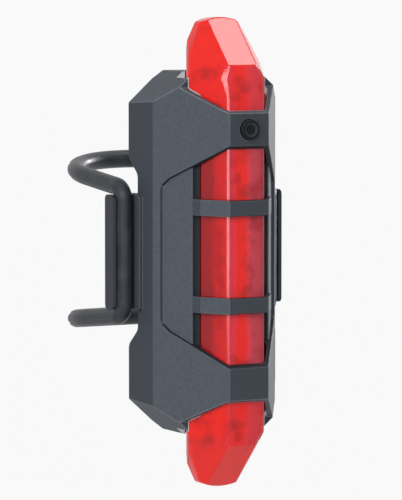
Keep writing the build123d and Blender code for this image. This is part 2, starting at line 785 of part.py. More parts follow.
lead_radius = 0.5
lead_z = guard_z - guard_thickness
lead_drop = 2.0
lead_y = (cell_back_y + cell_front_y) / 2
battery_leads = {}
for name, x in (("battery_lead_red", -1.2), ("battery_lead_black", -3.0)):
    with BuildPart() as lead:
        with BuildLine() as run:
            FilletPolyline((x, lead_y, lead_z), (x, lead_y, lead_z - lead_drop),
                           (x, board_back_y, lead_z - lead_drop), radius=1.2)
        with BuildSketch(Plane(origin=run.line @ 0, z_dir=run.line % 0)):
            Circle(lead_radius)
        sweep(path=run.line)
    lead.part.label = name
    battery_leads[name] = lead

# Charging: small upright board, socket facing the side wall, pins to the main board
with BuildPart() as charge_board:
    with BuildSketch(facing(charger_y)):
        with Locations((charger_x, charger_z)):
            Rectangle(charger_right - charger_left, charger_height)
    extrude(amount=board_thickness)
charge_board.part.label = "charge_board"

with BuildPart() as usb_socket:
    with BuildSketch(Plane.YZ.offset(socket_x - socket_size[0] / 2)) as mouth:
        with Locations((port_y, port_z)):
            RectangleRounded(socket_size[1], socket_size[2], 0.6)
    extrude(amount=socket_size[0])
    with BuildSketch(Plane.YZ.offset(socket_x + socket_size[0] / 2)):
        with Locations((port_y, port_z)):
            RectangleRounded(socket_size[1] - 2 * socket_shell, socket_size[2] - 2 * socket_shell, 0.4)
    extrude(amount=-(socket_size[0] - 0.6), mode=Mode.SUBTRACT)
usb_socket.part.label = "usb_socket"

with BuildPart() as usb_tongue:
    with BuildSketch(Plane.YZ.offset(socket_x - socket_size[0] / 2 + 0.6)):
        with Locations((port_y - 0.25, port_z)):
            Rectangle(0.55, socket_size[2] - 2 * socket_shell - 1.6)
    extrude(amount=socket_size[0] - 1.4)
usb_tongue.part.label = "usb_tongue"

pins_z = charger_z - charger_height / 2 + 0.7
charger_front_y = charger_y - board_thickness
with BuildPart() as header_pins:
    with BuildSketch(facing(charger_front_y)):
        with Locations(*[(pins_left + i * pin_pitch, pins_z) for i in range(pin_count)]):
            Rectangle(0.5, 0.5)
    extrude(amount=charger_front_y - board_back_y)
header_pins.part.label = "header_pins"

with BuildPart() as charger_chip:
    with BuildSketch(facing(charger_front_y)):
        with Locations((charger_x + 1.2, charger_z + 1.0)):
            Rectangle(2.9, 2.9)
    extrude(amount=0.9)
charger_chip.part.label = "charger_chip"

with BuildPart() as controller_chip:
    with BuildSketch(facing(board_back_y)):
        with Locations((-1.95, -tray_end + 5.4)):
            Rectangle(3.9, 4.0)
    extrude(amount=-1.1)
controller_chip.part.label = "controller_chip"

with BuildPart() as chip_resistors:
    with BuildSketch(facing(board_back_y)):
        with Locations(*[(x, -tray_end + 4.2) for x in (1.0, 2.2, 3.4)]):
            Rectangle(0.8, 1.6)
    extrude(amount=-0.45)
chip_resistors.part.label = "chip_resistors"

# Port cover: a soft flap with a plug, hinged on its rounded lower end
hinge_x = cover_x - cover_size[0] / 2
plug_length = cover_x - cover_size[0] - (socket_x + socket_size[0] / 2) - cover_gap
hinge_z = port_z - cover_size[2] / 2 + hinge_radius
with BuildPart() as port_cover:
    with BuildSketch(Plane.YZ.offset(cover_x - cover_size[0])):
        with Locations((port_y, port_z + hinge_radius / 2)):
            RectangleRounded(cover_size[1], cover_size[2] - hinge_radius, 0.7)
        with Locations((port_y, hinge_z + 0.6)):
            Rectangle(cover_size[1], 1.2)
    extrude(amount=cover_size[0])
    with BuildSketch(Plane.XZ.offset(-(port_y + cover_size[1] / 2))):
        with Locations((hinge_x, hinge_z)):
            Circle(hinge_radius)
    extrude(amount=cover_size[1])
    with BuildSketch(Plane.YZ.offset(cover_x - cover_size[0])):
        with Locations((port_y, port_z)):
            RectangleRounded(socket_size[1] - 0.4, socket_size[2] - 0.8, 0.5)
    extrude(amount=-plug_length)
port_cover.part.label = "port_cover"

pieces = [
    front_cage, lens, rear_case, saddle_pad, case_seal, case_screws, mounting_ring,
    power_button, button_seal, switch_body, switch_plunger,
    circuit_board, leds, reflector, prism_plate,
    battery_foam, battery_cell, protection_board, *battery_leads.values(),
    charge_board, usb_socket, usb_tongue, header_pins, charger_chip, controller_chip, chip_resistors,
    port_cover,
]
os.makedirs("parts", exist_ok=True)
for piece in pieces:
    export_step(piece.part, f"parts/{piece.part.label}.step")
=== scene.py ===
# Bicycle tail light on its own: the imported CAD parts, their materials, and the pieces modelled here.
# Metres. The light faces -Y, Z points up, and the origin is in the middle of the ring's two loops.
import math
import bmesh
import bpy
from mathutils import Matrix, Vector


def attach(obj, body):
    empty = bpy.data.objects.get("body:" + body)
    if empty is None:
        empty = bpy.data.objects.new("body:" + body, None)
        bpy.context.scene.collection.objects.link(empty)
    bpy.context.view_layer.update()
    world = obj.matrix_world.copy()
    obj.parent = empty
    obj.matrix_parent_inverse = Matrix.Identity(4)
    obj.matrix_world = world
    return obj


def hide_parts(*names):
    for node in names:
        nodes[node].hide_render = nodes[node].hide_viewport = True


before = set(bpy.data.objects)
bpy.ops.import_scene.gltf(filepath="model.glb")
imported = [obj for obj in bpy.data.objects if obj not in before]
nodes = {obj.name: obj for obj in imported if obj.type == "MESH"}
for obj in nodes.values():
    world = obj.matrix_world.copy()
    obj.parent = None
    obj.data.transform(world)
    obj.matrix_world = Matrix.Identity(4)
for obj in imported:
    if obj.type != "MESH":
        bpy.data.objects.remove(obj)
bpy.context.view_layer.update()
mm = 0.001
closeBy = 0.01 * mm            # two places nearer than this are one
mergeWithin = 0.002 * mm
cutWithin = 0.0001 * mm
noiseRange = (0.3, 0.7)        # what a noise texture mostly gives
print("frame loaded:", len(nodes), "nodes")


def hexColour(code):
    parts = [int(code[i:i + 2], 16) / 255 for i in (1, 3, 5)]
    linear = [c / 12.92 if c <= 0.04045 else ((c + 0.055) / 1.055) ** 2.4 for c in parts]
    return (*linear, 1.0)


def addNode(tree, kind, inputs=None, **options):  # an input is given a value or another node's socket
    node = tree.nodes.new(kind)
    for name, value in options.items():
        setattr(node, name, value)
    for name, value in (inputs or {}).items():
        if isinstance(value, bpy.types.NodeSocket):
            tree.links.new(value, node.inputs[name])
        else:
            node.inputs[name].default_value = value
    return node


def fromRange(pair, unit=1.0):  # where a Map Range node starts and ends
    return {"From Min": pair[0] * unit, "From Max": pair[1] * unit}


def newMaterial(name):
    material = bpy.data.materials.new(name)
    material.use_nodes = True
    tree = material.node_tree
    tree.nodes.clear()
    place = addNode(tree, "ShaderNodeTexCoord").outputs["Object"]
    return material, tree, place


def ribScale(pitch):           # scale of a wave texture with a rib at each pitch
    return 2 * math.pi / (20 * pitch)


cameraLook = {
    "azimuth": -27.5,          # degrees, 0 looks along +Y
    "elevation": 4.687,
    "distance": 0.6894,        # to the point that it looks past
    "right": 0.00638,          # the frame's middle, from the origin
    "up": -0.00107,
    "lens": 299.4,             # mm, on the sensor's long side
    "sensor": 36.0,
    "nearest": 0.01,
}


def makeCamera():
    a, e = math.radians(cameraLook["azimuth"]), math.radians(cameraLook["elevation"])
    back = Vector((math.sin(a) * math.cos(e), -math.cos(a) * math.cos(e), math.sin(e)))
    right = Vector((math.cos(a), math.sin(a), 0))
    up = back.cross(right)
    place = back * cameraLook["distance"] + right * cameraLook["right"] + up * cameraLook["up"]
    bpy.ops.object.camera_add(location=place, rotation=back.to_track_quat("Z", "Y").to_euler())
    camera = bpy.context.object
    camera.name = "photoCamera"
    camera.data.lens = cameraLook["lens"]
    camera.data.sensor_width = cameraLook["sensor"]
    camera.data.sensor_fit = "AUTO"
    camera.data.clip_start = cameraLook["nearest"]
    bpy.context.scene.camera = camera


studio = {
    "floorDrop": 0.60,         # floor below the origin
    "floorSize": 60.0,
    "floorColour": "#F4F6F7",
    "floorRoughness": 0.9,
    "floorGlow": 0.9,          # how much of the floor's own white the camera sees
    "surround": "#FFFFFF",
    "surroundLight": 0.46,     # the world's strength as a light
    "lamps": [                 # name, place, width, height, watts
        ("keyLeft", (-0.847, -0.377, 0.375), 0.30, 0.30, 3.6),
        ("frontFill", (-0.34, -0.90, 0.52), 0.50, 0.40, 2.6),
        ("edgeStrip", (-0.49, -0.73, 0.30), 0.10, 0.90, 2.8),
        ("topGloss", (0.40, -0.06, 0.76), 0.20, 0.20, 1.3),
        ("rimRight", (0.74, 0.27, 0.14), 0.22, 0.30, 6.4),
        ("edgeSpot", (0.72, 0.01, -0.045), 0.06, 0.06, 0.06),
    ],
}


def seenDirectly(tree):        # 1 for what the camera, a reflection or a clear part shows, else 0
    path = addNode(tree, "ShaderNodeLightPath")
    seen = addNode(tree, "ShaderNodeMath", {
        0: path.outputs["Is Camera Ray"], 1: path.outputs["Is Glossy Ray"]}, operation="MAXIMUM")
    seen = addNode(tree, "ShaderNodeMath", {
        0: seen.outputs[0], 1: path.outputs["Is Transmission Ray"]}, operation="MAXIMUM")
    return seen.outputs[0]


def paintedBoard():            # matt painted board, shown as near white with the object's shadow
    material, tree = newMaterial("mattPaintedBoard")[:2]
    board = addNode(tree, "ShaderNodeBsdfPrincipled", {
        "Base Color": hexColour(studio["floorColour"]), "Roughness": studio["floorRoughness"]})
    glow = addNode(tree, "ShaderNodeEmission", {"Color": hexColour(studio["surround"]), "Strength": 1.0})
    share = addNode(tree, "ShaderNodeMath", {
        0: seenDirectly(tree), 1: studio["floorGlow"]}, operation="MULTIPLY")
    mix = addNode(tree, "ShaderNodeMixShader", {
        0: share.outputs[0], 1: board.outputs[0], 2: glow.outputs[0]})
    addNode(tree, "ShaderNodeOutputMaterial", {"Surface": mix.outputs[0]})
    return material


def makeStudio():
    bpy.ops.mesh.primitive_plane_add(size=studio["floorSize"], location=(0, 0, -studio["floorDrop"]))
    floor = bpy.context.object
    floor.name = "floor"
    floor.data.materials.append(paintedBoard())
    for name, place, width, height, watts in studio["lamps"]:
        aim = (Vector(place) * -1).to_track_quat("-Z", "Y").to_euler()
        bpy.ops.object.light_add(type="AREA", location=place, rotation=aim)
        lamp = bpy.context.object
        lamp.name = name
        lamp.data.shape = "RECTANGLE"
        lamp.data.size = width
        lamp.data.size_y = height
        lamp.data.energy = watts
    world = bpy.data.worlds.new("paleStudio")
    world.use_nodes = True
    bpy.context.scene.world = world
    tree = world.node_tree
    tree.nodes.clear()
    strength = addNode(tree, "ShaderNodeMapRange", {
        "Value": seenDirectly(tree), "To Min": studio["surroundLight"], "To Max": 1.0})
    glow = addNode(tree, "ShaderNodeBackground", {
        "Color": hexColour(studio["surround"]), "Strength": strength.outputs[0]})
    addNode(tree, "ShaderNodeOutputWorld", {"Surface": glow.outputs[0]})
    bpy.context.scene.view_settings.view_transform = "Standard"


blackAbs = {
    "dark": "#464B51",
    "light": "#4D5259",
    "mottle": 0.55 * mm,       # patches of the two colours above
    "facingShading": "#363A40",       # painted shade: the side and front faces are drawn darker than the flanks
    "facingShadingFrom": (0.92, 0.98),  # how squarely a face looks along X or Y, where that starts and is full
    "facingShadingShare": 0.75,
    "edge": "#9A9EA3",         # painted highlight along the rounded edges
    "edgeRadius": 0.22 * mm,
    "edgeSamples": 6,
    "edgeHighlightFrom": (0.995, 0.90),  # how alike the flat and the rounded normal are there
    "edgeHighlightShare": 0.75,
    "plainRimHighlight": 0.35,          # how strong the painted edge highlight is on rims away from the notches, next to theirs
    "roughness": 0.48,
    "roughSpread": (-0.06, 0.08),
    "grainSize": 0.25 * mm,    # spark-eroded grain, drawn coarser than its 0.05 mm so that it shows
    "grainDepth": 0.02 * mm,
    "grainStrength": 0.6,
    "gloss": 0.04,
    "ior": 1.54,
    "inner": 0.0,              # how far the walls below the outer faces take the three painted colours below
    "step": "#16181C",         # painted shade on the level walls of the windows and on the low steps
    # painted shade on the walls inside the windows
    "windowWallShade": "#1B1D21",
    # painted light on the notch walls
    "notchWallLight": "#B4B8BC",
}
inside = {                     # mm, where the cage's inner walls lie
    "faceHalf": 3.5,           # half width of its front face
    "front": -30.5,
    "slope": 32.7,             # degrees that its flanks lean back
    "deepFrom": (0.75, 0.95),  # below the outer faces, where the painted wall colours start and are full
    "levelFrom": (0.5, 0.6),   # how level a face is, the same for the steps
    "behind": -18.7,           # no such colour further back, or beyond the half width
    "half": 7.0,
    "notchFrom": (17.5, 18.5),  # height, where the notches take over from the windows
}


def depthInside(tree, across, forward):  # how far a place lies below the flanks and the front face
    turn = math.radians(inside["slope"])
    start = (inside["faceHalf"] * math.cos(turn) - inside["front"] * math.sin(turn)) * mm
    flank = addNode(tree, "ShaderNodeMath", {
        0: across, 1: -math.cos(turn), 2: start}, operation="MULTIPLY_ADD")
    flank = addNode(tree, "ShaderNodeMath", {
        0: forward, 1: math.sin(turn), 2: flank.outputs[0]}, operation="MULTIPLY_ADD")
    sunk = addNode(tree, "ShaderNodeMath", {0: forward, 1: -inside["front"] * mm}, operation="ADD")
    depth = addNode(tree, "ShaderNodeMath", {
        0: flank.outputs[0], 1: sunk.outputs[0]}, operation="MINIMUM")
    return depth.outputs[0]


def paintedWallShares(tree, place, level, look):  # how far a place is an inner wall, a low step or a notch, for the painted shade and light there
    apart = addNode(tree, "ShaderNodeSeparateXYZ", {"Vector": place})
    across = addNode(tree, "ShaderNodeMath", {0: apart.outputs["X"]}, operation="ABSOLUTE")
    height = addNode(tree, "ShaderNodeMath", {0: apart.outputs["Z"]}, operation="ABSOLUTE")
    depth = depthInside(tree, across.outputs[0], apart.outputs["Y"])
    deep = addNode(tree, "ShaderNodeMapRange", {"Value": depth, **fromRange(inside["deepFrom"], mm)})
    notch = addNode(tree, "ShaderNodeMapRange", {
        "Value": height.outputs[0], **fromRange(inside["notchFrom"], mm)})
    fore = addNode(tree, "ShaderNodeMath", {
        0: apart.outputs["Y"], 1: inside["behind"] * mm}, operation="LESS_THAN")
    central = addNode(tree, "ShaderNodeMath", {
        0: across.outputs[0], 1: inside["half"] * mm}, operation="LESS_THAN")
    wall = deep
    for limit in (fore.outputs[0], central.outputs[0], look["inner"]):
        wall = addNode(tree, "ShaderNodeMath", {0: wall.outputs[0], 1: limit}, operation="MULTIPLY")
    level = addNode(tree, "ShaderNodeMapRange", {"Value": level, **fromRange(inside["levelFrom"])})
    low = addNode(tree, "ShaderNodeMapRange", {
        "Value": notch.outputs[0], "To Min": look["inner"], "To Max": 0.0})
    step = addNode(tree, "ShaderNodeMath", {0: level.outputs[0], 1: low.outputs[0]}, operation="MULTIPLY")
    return wall.outputs[0], step.outputs[0], notch.outputs[0]


def mouldedBlackAbs(name, look=blackAbs):  # ABS from a spark-eroded mould: fine satin grain, with painted highlights on the rims and painted shade and light on faces and inner walls
    material, tree, place = newMaterial(name)
    fine = addNode(tree, "ShaderNodeTexNoise", {
        "Vector": place, "Scale": 1 / look["grainSize"], "Detail": 2.0})
    mottle = addNode(tree, "ShaderNodeTexNoise", {
        "Vector": place, "Scale": 1 / look["mottle"], "Detail": 4.0})
    patch = addNode(tree, "ShaderNodeMapRange", {
        "Value": mottle.outputs["Fac"], **fromRange(noiseRange)})
    body = addNode(tree, "ShaderNodeMix", {
        0: patch.outputs[0], 6: hexColour(look["dark"]), 7: hexColour(look["light"])}, data_type="RGBA")

    # painted shade: faces that look squarely along X or Y take the facing colour
    flat = addNode(tree, "ShaderNodeNewGeometry")
    facing = addNode(tree, "ShaderNodeVectorMath", {0: flat.outputs["Normal"]}, operation="ABSOLUTE")
    facing = addNode(tree, "ShaderNodeSeparateXYZ", {"Vector": facing.outputs[0]})
    square = addNode(tree, "ShaderNodeMath", {
        0: facing.outputs["X"], 1: facing.outputs["Y"]}, operation="MAXIMUM")
    facingShading = addNode(tree, "ShaderNodeMapRange", {
        "Value": square.outputs[0], **fromRange(look["facingShadingFrom"]), "To Max": look["facingShadingShare"]})
    body = addNode(tree, "ShaderNodeMix", {
        0: facingShading.outputs[0], 6: body.outputs[2], 7: hexColour(look["facingShading"])}, data_type="RGBA")

    wall, step, notch = paintedWallShares(tree, place, facing.outputs["Z"], look)
    # painted shade on the low steps
    body = addNode(tree, "ShaderNodeMix", {
        0: step, 6: body.outputs[2], 7: hexColour(look["step"])}, data_type="RGBA")

    rounded = addNode(tree, "ShaderNodeBevel", {"Radius": look["edgeRadius"]},
                      samples=look["edgeSamples"])
    alike = addNode(tree, "ShaderNodeVectorMath", {
        0: rounded.outputs[0], 1: flat.outputs["Normal"]}, operation="DOT_PRODUCT")
    # painted highlight: where the rounded normal turns from the flat one, the edge colour is laid on,
    # strongest at the notches
    edgeHighlight = addNode(tree, "ShaderNodeMapRange", {
        "Value": alike.outputs["Value"], **fromRange(look["edgeHighlightFrom"]), "To Max": look["edgeHighlightShare"]})
    rimHighlightStrength = addNode(tree, "ShaderNodeMapRange", {
        "Value": notch, "To Min": look["plainRimHighlight"], "To Max": 1.0})
    edgeHighlight = addNode(tree, "ShaderNodeMath", {0: edgeHighlight.outputs[0], 1: rimHighlightStrength.outputs[0]}, operation="MULTIPLY")
    body = addNode(tree, "ShaderNodeMix", {
        0: edgeHighlight.outputs[0], 6: body.outputs[2], 7: hexColour(look["edge"])}, data_type="RGBA")

    # painted shade on the walls deep in the windows, painted light on the notch walls
    paintedWallShadeAndLight = addNode(tree, "ShaderNodeMix", {
        0: notch, 6: hexColour(look["windowWallShade"]), 7: hexColour(look["notchWallLight"])}, data_type="RGBA")
    colour = addNode(tree, "ShaderNodeMix", {
        0: wall, 6: body.outputs[2], 7: paintedWallShadeAndLight.outputs[2]}, data_type="RGBA")

    smoothest, roughest = [look["roughness"] + change for change in look["roughSpread"]]
    rough = addNode(tree, "ShaderNodeMapRange", {
        "Value": fine.outputs["Fac"], **fromRange(noiseRange), "To Min": smoothest, "To Max": roughest})
    bump = addNode(tree, "ShaderNodeBump", {
        "Height": fine.outputs["Fac"], "Normal": rounded.outputs[0],
        "Strength": look["grainStrength"], "Distance": look["grainDepth"]})
    shader = addNode(tree, "ShaderNodeBsdfPrincipled", {
        "Base Color": colour.outputs[2], "Roughness": rough.outputs[0], "Normal": bump.outputs[0],
        "IOR": look["ior"], "Specular IOR Level": look["gloss"]})
    addNode(tree, "ShaderNodeOutputMaterial", {"Surface": shader.outputs[0]})
    return material


redLens = {
    "bands": [                 # place across in mm, and the colour painted there as the reflection of the reflectors behind
        (-5.7, "#921A20"), (-4.8, "#961A20"), (-4.3, "#C61C1E"), (-3.3, "#D01E20"), (-3.0, "#D42E3E"),
        (-2.1, "#DE2C3C"), (-1.6, "#E61E18"), (-0.2, "#E8211A"), (0.5, "#DC3646"), (1.0, "#BC3C4A"),
        (2.6, "#B23644"), (3.2, "#921E2A"), (4.2, "#C01C20"), (5.7, "#8C1A20"),
    ],
    "bandReach": 8,            # mm, half the width that they are laid out over
    "sway": 0.7 * mm,          # the cloudiness shifts them by up to this
    "flow": 3.2 * mm,          # cloudiness of the moulding
    "head": "#E61C13",         # sides and ends of the heads, away from the reflectors
    "headFrom": (22.4, 23.6),  # mm up, where that colour starts and is full
    "sideFrom": (3.1, 3.9),    # mm across
    "faceShare": 0.45,         # how much of it the heads' faces take
    "endFrom": (30.0, 30.6),   # mm up, from where the slanted ends take all of it
    "deep": "#9A1418",         # thicker places
    "deepFrom": (0.50, 0.68),  # how cloudy a place is there
    "deepShare": 0.6,
    "clearFrom": (29.8, 31.5),  # mm up, they fade towards the tips
    "clearShare": 0.25,
    "roughness": 0.07,
    "gloss": 0.16,
    "transmission": 0.14,
    "ior": 1.586,
    "ribPitch": 0.45 * mm,
    "ribDepth": 0.03 * mm,
    "ribStrength": 0.05,
    "ribShare": 0.05,          # how much deeper in colour each rib is
}


def reflectionBandRamp(tree, fac):       # painted reflections of the reflectors, in bands from one side of the lens to the other
    bands = addNode(tree, "ShaderNodeValToRGB", {"Fac": fac})
    reach = redLens["bandReach"]
    stops = bands.color_ramp.elements
    stops.remove(stops[1])
    for count, (spot, code) in enumerate(redLens["bands"]):
        position = (spot + reach) / (2 * reach)
        stop = stops[0] if count == 0 else stops.new(position)
        stop.position = position
        stop.color = hexColour(code)
    return bands.outputs[0]


def headShare(tree, apart, height):  # how far a place takes the heads' own colour
    head = addNode(tree, "ShaderNodeMapRange", {"Value": height, **fromRange(redLens["headFrom"], mm)})
    aside = addNode(tree, "ShaderNodeMath", {0: apart.outputs["X"]}, operation="ABSOLUTE")
    side = addNode(tree, "ShaderNodeMapRange", {
        "Value": aside.outputs[0], **fromRange(redLens["sideFrom"], mm), "To Min": redLens["faceShare"]})
    end = addNode(tree, "ShaderNodeMapRange", {"Value": height, **fromRange(redLens["endFrom"], mm)})
    plain = addNode(tree, "ShaderNodeMath", {0: side.outputs[0], 1: end.outputs[0]}, operation="MAXIMUM")
    plain = addNode(tree, "ShaderNodeMath", {0: head.outputs[0], 1: plain.outputs[0]}, operation="MULTIPLY")
    return plain.outputs[0]


def redPolycarbonate():        # polished polycarbonate, coloured through: painted reflections in soft upright bands, fine level ribs
    material, tree, place = newMaterial("polishedRedPolycarbonate")
    apart = addNode(tree, "ShaderNodeSeparateXYZ", {"Vector": place})
    height = addNode(tree, "ShaderNodeMath", {0: apart.outputs["Z"]}, operation="ABSOLUTE")
    flow = addNode(tree, "ShaderNodeTexNoise", {
        "Vector": place, "Scale": 1 / redLens["flow"], "Detail": 2.0})
    sway = addNode(tree, "ShaderNodeMapRange", {
        "Value": flow.outputs["Fac"], "To Min": -redLens["sway"], "To Max": redLens["sway"]})
    swayed = addNode(tree, "ShaderNodeMath", {0: apart.outputs["X"], 1: sway.outputs[0]}, operation="ADD")
    reach = redLens["bandReach"]
    across = addNode(tree, "ShaderNodeMapRange", {
        "Value": swayed.outputs[0], **fromRange((-reach, reach), mm)})
    # painted reflection bands, except where the heads take their own plain red
    body = addNode(tree, "ShaderNodeMix", {
        0: headShare(tree, apart, height.outputs[0]), 6: reflectionBandRamp(tree, across.outputs[0]),
        7: hexColour(redLens["head"])}, data_type="RGBA")

    ribs = addNode(tree, "ShaderNodeTexWave", {
        "Vector": place, "Scale": ribScale(redLens["ribPitch"])}, bands_direction="Z")
    ribbed = addNode(tree, "ShaderNodeMapRange", {
        "Value": ribs.outputs["Fac"], "To Max": redLens["ribShare"]})
    thick = addNode(tree, "ShaderNodeMapRange", {
        "Value": flow.outputs["Fac"], **fromRange(redLens["deepFrom"]), "To Max": redLens["deepShare"]})
    clear = addNode(tree, "ShaderNodeMapRange", {
        "Value": height.outputs[0], **fromRange(redLens["clearFrom"], mm),
        "To Min": 1.0, "To Max": redLens["clearShare"]})
    thick = addNode(tree, "ShaderNodeMath", {
        0: thick.outputs[0], 1: clear.outputs[0]}, operation="MULTIPLY")
    share = addNode(tree, "ShaderNodeMath", {0: thick.outputs[0], 1: ribbed.outputs[0]}, operation="ADD")
    colour = addNode(tree, "ShaderNodeMix", {
        0: share.outputs[0], 6: body.outputs[2], 7: hexColour(redLens["deep"])}, data_type="RGBA")
    bump = addNode(tree, "ShaderNodeBump", {
        "Height": ribs.outputs["Fac"], "Strength": redLens["ribStrength"],
        "Distance": redLens["ribDepth"]})
    shader = addNode(tree, "ShaderNodeBsdfPrincipled", {
        "Base Color": colour.outputs[2], "Roughness": redLens["roughness"], "Normal": bump.outputs[0],
        "IOR": redLens["ior"], "Specular IOR Level": redLens["gloss"],
        "Transmission Weight": redLens["transmission"]})
    addNode(tree, "ShaderNodeOutputMaterial", {"Surface": shader.outputs[0]})
    return material


redPrism = {
    "colour": "#FF6A60",
    "roughness": 0.15,
    "transmission": 0.6,
    "ior": 1.49,
    "ribPitch": 0.45 * mm,
    "ribDepth": 0.08 * mm,
    "ribStrength": 0.8,
}


def ribbedRedPrism():          # moulded acrylic plate whose fine ribs break the light into lines
    material, tree, place = newMaterial("ribbedRedAcrylic")
    ribs = addNode(tree, "ShaderNodeTexWave", {
        "Vector": place, "Scale": ribScale(redPrism["ribPitch"])}, bands_direction="Z")
    bump = addNode(tree, "ShaderNodeBump", {
        "Height": ribs.outputs["Fac"], "Strength": redPrism["ribStrength"],
        "Distance": redPrism["ribDepth"]})
    shader = addNode(tree, "ShaderNodeBsdfPrincipled", {
        "Base Color": hexColour(redPrism["colour"]), "Roughness": redPrism["roughness"],
        "Normal": bump.outputs[0], "IOR": redPrism["ior"],
        "Transmission Weight": redPrism["transmission"]})
    addNode(tree, "ShaderNodeOutputMaterial", {"Surface": shader.outputs[0]})
    return material


rubber = {
    "bloom": 2.2 * mm,         # patches of dust
    "bloomFrom": (0.35, 0.7),
    "grain": 0.3 * mm,         # the mould's grain, drawn coarser than it is so that it shows
    "grainDepth": 0.012 * mm,
    "grainStrength": 0.4,
    "roughSpread": (-0.06, 0.1),
    "ior": 1.52,
    "gloss": 0.2,
}


def mouldedRubber(name, dark, light, roughness):  # rubber with a faint dusty bloom
    material, tree, place = newMaterial(name)
    dust = addNode(tree, "ShaderNodeTexNoise", {
        "Vector": place, "Scale": 1 / rubber["bloom"], "Detail": 4.0})
    fine = addNode(tree, "ShaderNodeTexNoise", {
        "Vector": place, "Scale": 1 / rubber["grain"], "Detail": 2.0})
    dusty = addNode(tree, "ShaderNodeMapRange", {
        "Value": dust.outputs["Fac"], **fromRange(rubber["bloomFrom"])})
    colour = addNode(tree, "ShaderNodeMix", {
        0: dusty.outputs[0], 6: hexColour(dark), 7: hexColour(light)}, data_type="RGBA")
    smoothest, roughest = [roughness + change for change in rubber["roughSpread"]]
    rough = addNode(tree, "ShaderNodeMapRange", {
        "Value": dust.outputs["Fac"], **fromRange(noiseRange), "To Min": smoothest, "To Max": roughest})
    bump = addNode(tree, "ShaderNodeBump", {
        "Height": fine.outputs["Fac"], "Strength": rubber["grainStrength"],
        "Distance": rubber["grainDepth"]})
    shader = addNode(tree, "ShaderNodeBsdfPrincipled", {
        "Base Color": colour.outputs[2], "Roughness": rough.outputs[0], "Normal": bump.outputs[0],
        "IOR": rubber["ior"], "Specular IOR Level": rubber["gloss"]})
    addNode(tree, "ShaderNodeOutputMaterial", {"Surface": shader.outputs[0]})
    return material


metal = {
    "streak": 0.4 * mm,        # drawn coarser than they are so that they show
    "drawn": 0.08,             # scale along Z next to the others, so that the streaks run that way
    "roughShares": (0.75, 1.3),
}


def platedMetal(name, colour, roughness):  # rolled or plated metal with fine drawn streaks
    material, tree, place = newMaterial(name)
    stretch = addNode(tree, "ShaderNodeMapping", {"Vector": place, "Scale": (1, 1, metal["drawn"])})
    lines = addNode(tree, "ShaderNodeTexNoise", {
        "Vector": stretch.outputs[0], "Scale": 1 / metal["streak"], "Detail": 3.0})
    smoothest, roughest = [roughness * share for share in metal["roughShares"]]
    rough = addNode(tree, "ShaderNodeMapRange", {
        "Value": lines.outputs["Fac"], **fromRange(noiseRange), "To Min": smoothest, "To Max": roughest})
    shader = addNode(tree, "ShaderNodeBsdfPrincipled", {
        "Base Color": hexColour(colour), "Roughness": rough.outputs[0], "Metallic": 1.0})
    addNode(tree, "ShaderNodeOutputMaterial", {"Surface": shader.outputs[0]})
    return material


board = {
    "mask": ("#0F4A2B", "#135233"),
    "track": "#1C6B41",
    "trackPitch": 6 * mm,
    "trackWidth": 0.02,        # next to the pitch
    "roughness": 0.32,
    "ior": 1.5,
}


def solderMask():              # green lacquer over the boards' copper, with the tracks showing through
    material, tree, place = newMaterial("greenSolderMask")
    tracks = addNode(tree, "ShaderNodeTexBrick", {
        "Vector": place, "Scale": 1 / board["trackPitch"], "Color1": hexColour(board["mask"][0]),
        "Color2": hexColour(board["mask"][1]), "Mortar": hexColour(board["track"]),
        "Mortar Size": board["trackWidth"]})
    shader = addNode(tree, "ShaderNodeBsdfPrincipled", {
        "Base Color": tracks.outputs["Color"], "Roughness": board["roughness"], "IOR": board["ior"]})
    addNode(tree, "ShaderNodeOutputMaterial", {"Surface": shader.outputs[0]})
    return material


plastic = {
    "patch": 1.0 * mm,         # uneven patches of the surface
    "ior": 1.5,
}


def smallPlastic(name, dark, light, roughness, patch=plastic["patch"]):  # moulded or cast, faintly uneven
    material, tree, place = newMaterial(name)
    uneven = addNode(tree, "ShaderNodeTexNoise", {"Vector": place, "Scale": 1 / patch, "Detail": 3.0})
    share = addNode(tree, "ShaderNodeMapRange", {
        "Value": uneven.outputs["Fac"], **fromRange(noiseRange)})
    colour = addNode(tree, "ShaderNodeMix", {
        0: share.outputs[0], 6: hexColour(dark), 7: hexColour(light)}, data_type="RGBA")
    shader = addNode(tree, "ShaderNodeBsdfPrincipled", {
        "Base Color": colour.outputs[2], "Roughness": roughness, "IOR": plastic["ior"]})
    addNode(tree, "ShaderNodeOutputMaterial", {"Surface": shader.outputs[0]})
    return material


cageAbs = {**blackAbs, "inner": 0.85}
# on the case the facing colour is painted light, lighter than its body; case and button each have their own
# painted edge highlight
caseAbs = {**blackAbs, "dark": "#262A2F", "light": "#2D3136", "edge": "#4E5258", "facingShading": "#3C4046"}
buttonAbs = {**blackAbs, "dark": "#1A1C20", "light": "#212428", "edge": "#5C6066", "facingShading": "#17191C"}
modelledHere = ("lens", "mounting_ring", "saddle_pad", "case_screws")


